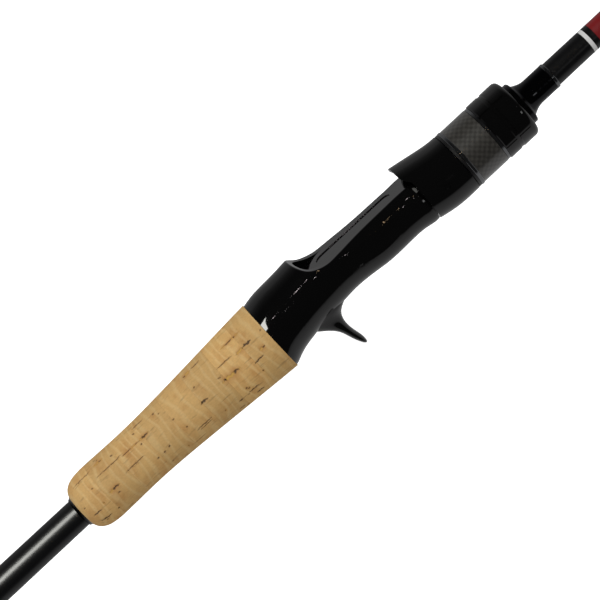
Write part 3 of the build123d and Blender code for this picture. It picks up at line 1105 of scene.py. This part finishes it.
class ROD_OT_butt_grip(bpy.types.Operator):
    """Model the cork rings of the butt grip"""

    bl_idname = "rod.butt_grip"
    bl_label = "Butt grip"

    def execute(self, context):
        sizes = context.scene.rod_sizes
        for index in range(BUTT_RINGS):
            node = f"butt_cork_ring_{index + 1}"
            start, end = (corner.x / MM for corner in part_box(node))
            pores = scattered_pores(start, end, False, sizes.cork_seed + 50 + index)
            cork_ring(context, node, pores, sizes.butt_spacing, GRIP_RINGS + index)
        # Rubber is dull and very slightly pebbled.
        dress(
            "butt_cap",
            grained(
                "moulded_rubber", ("#0D0D0E", "#17171A"), 0.62, 0.5 * MM, 0.04 * MM
            ),
        )
        return {"FINISHED"}


class ROD_OT_blank(bpy.types.Operator):
    """Finish the rod blank"""

    bl_idname = "rod.blank"
    bl_label = "Blank"

    def execute(self, context):
        colours, sizes = context.scene.rod_colours, context.scene.rod_sizes
        dress("blank", satin_blank(colours, sizes))
        return {"FINISHED"}


class ROD_OT_reel_seat(bpy.types.Operator):
    """Finish the reel seat, the hood and the nut"""

    bl_idname = "rod.reel_seat"
    bl_label = "Reel seat, hood and nut"

    def execute(self, context):
        colours, sizes = context.scene.rod_colours, context.scene.rod_sizes
        nylon = gloss_nylon(colours)
        for node in ("reel_seat", "front_hood", "hood_pins", "nut_head"):
            dress(node, nylon)
        dress("carbon_sleeve", lacquered_carbon(colours, sizes))
        # The hood's lining is soft polyurethane, matt so that it grips a reel's foot.
        dress(
            "hood_liner",
            grained(
                "soft_polyurethane", ("#101011", "#1A1A1B"), 0.7, 0.4 * MM, 0.02 * MM
            ),
        )
        # Acetal is milky and waxy.
        dress(
            "slip_washer",
            grained("white_acetal", ("#D9D8D2", "#E4E3DE"), 0.4, 1.0 * MM, 0.01 * MM),
        )
        # The core is unpolished, so its gloss is dull.
        dress(
            "nut_core",
            grained(
                "black_moulded_nylon", ("#0B0B0C", "#121213"), 0.35, 0.3 * MM, 0.01 * MM
            ),
        )
        # Rigid foam, cream, with cells of about half a millimetre.
        dress(
            "seat_arbors",
            grained("rigid_foam", ("#B9A98A", "#D2C4A6"), 0.9, 0.5 * MM, 0.1 * MM),
        )
        return {"FINISHED"}


class ROD_OT_metal_trim(bpy.types.Operator):
    """Finish the turned checks and trim rings"""

    bl_idname = "rod.metal_trim"
    bl_label = "Checks and trim rings"

    def execute(self, context):
        colours = context.scene.rod_colours
        # Thin bright lines that catch the light round the seat and the nut.
        polished = turned_metal(
            "polished_turned_aluminium", colours.polished, 0.14, 6000
        )
        for node in (
            "check_trim_ring",
            "retaining_ring",
            "rear_trim_ring",
            "front_trim_ring",
        ):
            dress(node, polished)
        # Black anodising on turned aluminium: dark, with a tight metallic gleam.
        anodised = turned_metal(
            "black_anodised_aluminium", colours.anodised, 0.12, 4000
        )
        for node in ("butt_check", "rear_check", "front_check"):
            dress(node, anodised)
        return {"FINISHED"}


class ROD_OT_guides(bpy.types.Operator):
    """Finish the line guides and the tip top"""

    bl_idname = "rod.guides"
    bl_label = "Guides and tip top"

    def execute(self, context):
        sizes = context.scene.rod_sizes
        # Plated steel wire: a grey gleam along its bends.
        steel = turned_metal("plated_stainless_steel", linear("#5C5D60"), 0.2, 2500)
        # Sintered ceramic polished like glass, dark grey.
        ceramic = grained(
            "polished_ceramic", ("#151617", "#1D1E20"), 0.08, 0.3 * MM, 0.002 * MM
        )
        thread = wound_thread(sizes)
        stems = [f"guide_{i + 1}" for i in range(GUIDE_COUNT)] + ["tip_top"]
        for stem in stems:
            dress(f"{stem}_frame", steel)
            dress(f"{stem}_ring", ceramic)
            dress("tip_wrap" if stem == "tip_top" else f"{stem}_wrap", thread)
        return {"FINISHED"}


# ---------------------------------------------------------------- stage


def soft_light(name, place, size, power, colour, seen_by):
    """A rectangular light that faces the rod, seen by matt or by glossy surfaces only."""
    data = bpy.data.lights.new(name, "AREA")
    data.shape = "RECTANGLE"
    data.size, data.size_y = size
    data.energy = power
    data.color = colour
    light = bpy.data.objects.new(name, data)
    bpy.context.scene.collection.objects.link(light)
    away = Vector(place) - Vector((place[0], 0, 0))
    forward = -away.normalized()
    along = Vector((1, 0, 0))
    along = (along - forward * along.dot(forward)).normalized()
    up = (-forward).cross(along)
    basis = Matrix((along, up, -forward)).transposed().to_4x4()
    light.matrix_world = Matrix.Translation(place) @ basis
    light.visible_camera = False
    light.visible_glossy = seen_by == "gloss"
    light.visible_diffuse = seen_by == "matt"
    light.visible_transmission = False
    return light


def polar(x, elevation, distance):
    """A place so many degrees up from the rod at x, on the camera's side."""
    angle = math.radians(elevation)
    return (x, -math.cos(angle) * distance, math.sin(angle) * distance)


# A light's place is metres along the rod, degrees up from the camera's side, distance.
KEY_PLACE = (0.2, 55, 1.6)
KEY_SIZE = (2.4, 1.0)
# Boxes seen only in the gloss: name, place, size, watts, colour. The first draws the band
# on the rear blank, and the second the faint band on the front blank.
BOXES = (
    ("rear_box", (-0.07, 47, 0.6), (0.4, 0.26), 5.4, (1.0, 1.0, 0.94)),
    ("front_box", (0.67, -8, 0.8), (0.34, 0.12), 0.3, WHITE),
)
# Bare bulbs in the room, seen only as sparkles in the gloss: place and colour.
BULB_SIZE = (0.014, 0.014)
BULB_POWER = 0.02
BULBS = (
    (0.30, 24, 0.9, "#FFF2F4"),
    (0.36, 31, 0.9, "#FFD9A8"),
    (0.21, 38, 0.9, "#FFEFF2"),
    (0.10, 12, 0.9, "#FFE0B8"),
    (0.62, 18, 0.9, "#FFF2F4"),
)

# What a reflection finds at each angle round the rod, in degrees up from the camera's
# side: the dark room, the white tent and the edges between them. Each is (angle, share
# of the tent's brightness).
TENT_EDGES = (
    (-180, 0.66),
    (-165, 0.8),
    (-150, 0.97),
    (-72, 1.0),
    (-62, 0.72),
    (-57.5, 0.0),
    (84, 0.0),
    (100, 0.12),
    (112, 0.3),
    (124, 0.62),
    (140, 0.64),
    (180, 0.66),
)


def studio_world(studio):
    """A white backdrop, even light on matt surfaces, a tent and dark room for gloss."""
    world = bpy.data.worlds.new("studio")
    bpy.context.scene.world = world
    world.use_nodes = True
    world.cycles.sampling_method = "NONE"
    tree = world.node_tree
    tree.nodes.clear()
    direction = add(tree, "ShaderNodeTexCoord").outputs["Generated"]
    parts = add(tree, "ShaderNodeSeparateXYZ", {0: direction})
    toward = add(
        tree, "ShaderNodeMath", {0: parts.outputs[1], 1: -1.0}, operation="MULTIPLY"
    )
    angle = add(
        tree,
        "ShaderNodeMath",
        {0: parts.outputs[2], 1: toward.outputs[0]},
        operation="ARCTAN2",
    )
    turn = add(
        tree,
        "ShaderNodeMapRange",
        {"Value": angle.outputs[0], "From Min": -math.pi, "From Max": math.pi},
    )
    ramp = add(tree, "ShaderNodeValToRGB", {0: turn.outputs[0]})
    stops = ramp.color_ramp.elements
    stops.remove(stops[1])
    for index, (degrees, share) in enumerate(TENT_EDGES):
        place = (degrees + 180) / 360
        stop = stops[0] if index == 0 else stops.new(place)
        level = studio.room_level + share * (studio.tent_level - studio.room_level)
        stop.color = (level, level, level, 1)
    rays = add(tree, "ShaderNodeLightPath")
    fill = (studio.fill_level,) * 3 + (1,)
    seen = add(
        tree,
        "ShaderNodeMix",
        {0: rays.outputs["Is Glossy Ray"], 6: fill, 7: ramp.outputs[0]},
        data_type="RGBA",
    )
    white = add(
        tree,
        "ShaderNodeMix",
        {0: rays.outputs["Is Camera Ray"], 6: seen.outputs[2], 7: (1, 1, 1, 1)},
        data_type="RGBA",
    )
    background = add(tree, "ShaderNodeBackground", {0: white.outputs[2]})
    add(tree, "ShaderNodeOutputWorld", {0: background.outputs[0]})


FLOOR_SIZE = 30.0
FLOOR_GLOW = 0.8


def studio_floor():
    """A plain pale floor under the trigger."""
    start_clean()
    height = CAD_BOX[0].z
    bpy.ops.mesh.primitive_plane_add(size=FLOOR_SIZE, location=(1.0, 0, height))
    floor = bpy.context.object
    floor.name = "floor"
    material, tree, shader = surface(
        "white_paper",
        {
            "Roughness": 1.0,
            "Specular IOR Level": 0.0,
            "Emission Color": (1, 1, 1, 1),
            "Emission Strength": FLOOR_GLOW,
        },
    )
    fibre = add(
        tree,
        "ShaderNodeTexNoise",
        {"Vector": stretched(tree, (200, 200, 200)), "Scale": 1.0},
    )
    colour = add(
        tree,
        "ShaderNodeMapRange",
        {"Value": fibre.outputs["Fac"], "To Min": 0.9, "To Max": 0.92},
    )
    feed(tree, shader, Base_Color=colour.outputs[0])
    floor.data.materials.append(material)
    floor.visible_glossy = False
    floor.visible_diffuse = False


def studio_camera(studio):
    """The camera, level with the rod's side, a little above it and turned on its axis."""
    elevation, roll = studio.camera_elevation, studio.camera_roll
    view = Vector((0, math.cos(elevation), -math.sin(elevation)))
    up = Vector((0, math.sin(elevation), math.cos(elevation)))
    right = Vector((1, 0, 0))
    image_right = right * math.cos(roll) - up * math.sin(roll)
    image_up = right * math.sin(roll) + up * math.cos(roll)
    data = bpy.data.cameras.new("camera")
    data.lens = studio.camera_lens
    data.sensor_width = 36.0
    data.clip_start = 0.01
    data.clip_end = 100.0
    camera = bpy.data.objects.new("camera", data)
    bpy.context.scene.collection.objects.link(camera)
    aim = Vector((studio.aim_x, 0, 0)) + up * studio.aim_up
    basis = Matrix((image_right, image_up, -view)).transposed().to_4x4()
    place = aim - view * studio.camera_distance
    camera.matrix_world = Matrix.Translation(place) @ basis
    bpy.context.scene.camera = camera


class ROD_OT_stage(bpy.types.Operator):
    """Set the floor, the lights and the camera"""

    bl_idname = "rod.stage"
    bl_label = "Studio"

    def execute(self, context):
        studio = context.scene.rod_studio
        studio_world(studio)
        studio_floor()
        soft_light(
            "key", polar(*KEY_PLACE), KEY_SIZE, studio.key_power, WHITE, "matt"
        )
        for name, place, size, power, colour in BOXES:
            soft_light(name, polar(*place), size, power, colour, "gloss")
        for number, (*place, tint) in enumerate(BULBS):
            soft_light(
                f"bulb_{number + 1}",
                polar(*place),
                BULB_SIZE,
                BULB_POWER,
                linear(tint),
                "gloss",
            )
        studio_camera(studio)
        context.scene.view_settings.view_transform = "Standard"
        return {"FINISHED"}


class ROD_PT_panel(bpy.types.Panel):
    """Lists the steps of the rod"""

    bl_idname = "ROD_PT_panel"
    bl_label = "Casting Rod"
    bl_space_type = "VIEW_3D"
    bl_region_type = "UI"
    bl_category = "Casting Rod"

    def draw(self, context):
        for step in STEPS:
            self.layout.operator(step.bl_idname)
        for group in ("rod_sizes", "rod_colours", "rod_studio"):
            settings = getattr(context.scene, group)
            box = self.layout.box()
            for name in settings.__annotations__:
                box.prop(settings, name)


STEPS = (
    ROD_OT_blank,
    ROD_OT_butt_grip,
    ROD_OT_rear_grip,
    ROD_OT_reel_seat,
    ROD_OT_metal_trim,
    ROD_OT_guides,
    ROD_OT_stage,
)
GROUPS = {"rod_sizes": RodSizes, "rod_colours": RodColours, "rod_studio": RodStudio}


def register():
    for cls in (*GROUPS.values(), *STEPS, ROD_PT_panel):
        bpy.utils.register_class(cls)
    for name, group in GROUPS.items():
        setattr(bpy.types.Scene, name, PointerProperty(type=group))


def unregister():
    for name in GROUPS:
        delattr(bpy.types.Scene, name)
    for cls in reversed((*GROUPS.values(), *STEPS, ROD_PT_panel)):
        bpy.utils.unregister_class(cls)


def main():
    register()
    for step in STEPS:
        family, name = step.bl_idname.split(".")
        getattr(getattr(bpy.ops, family), name)()


if __name__ == "__main__":
    main()
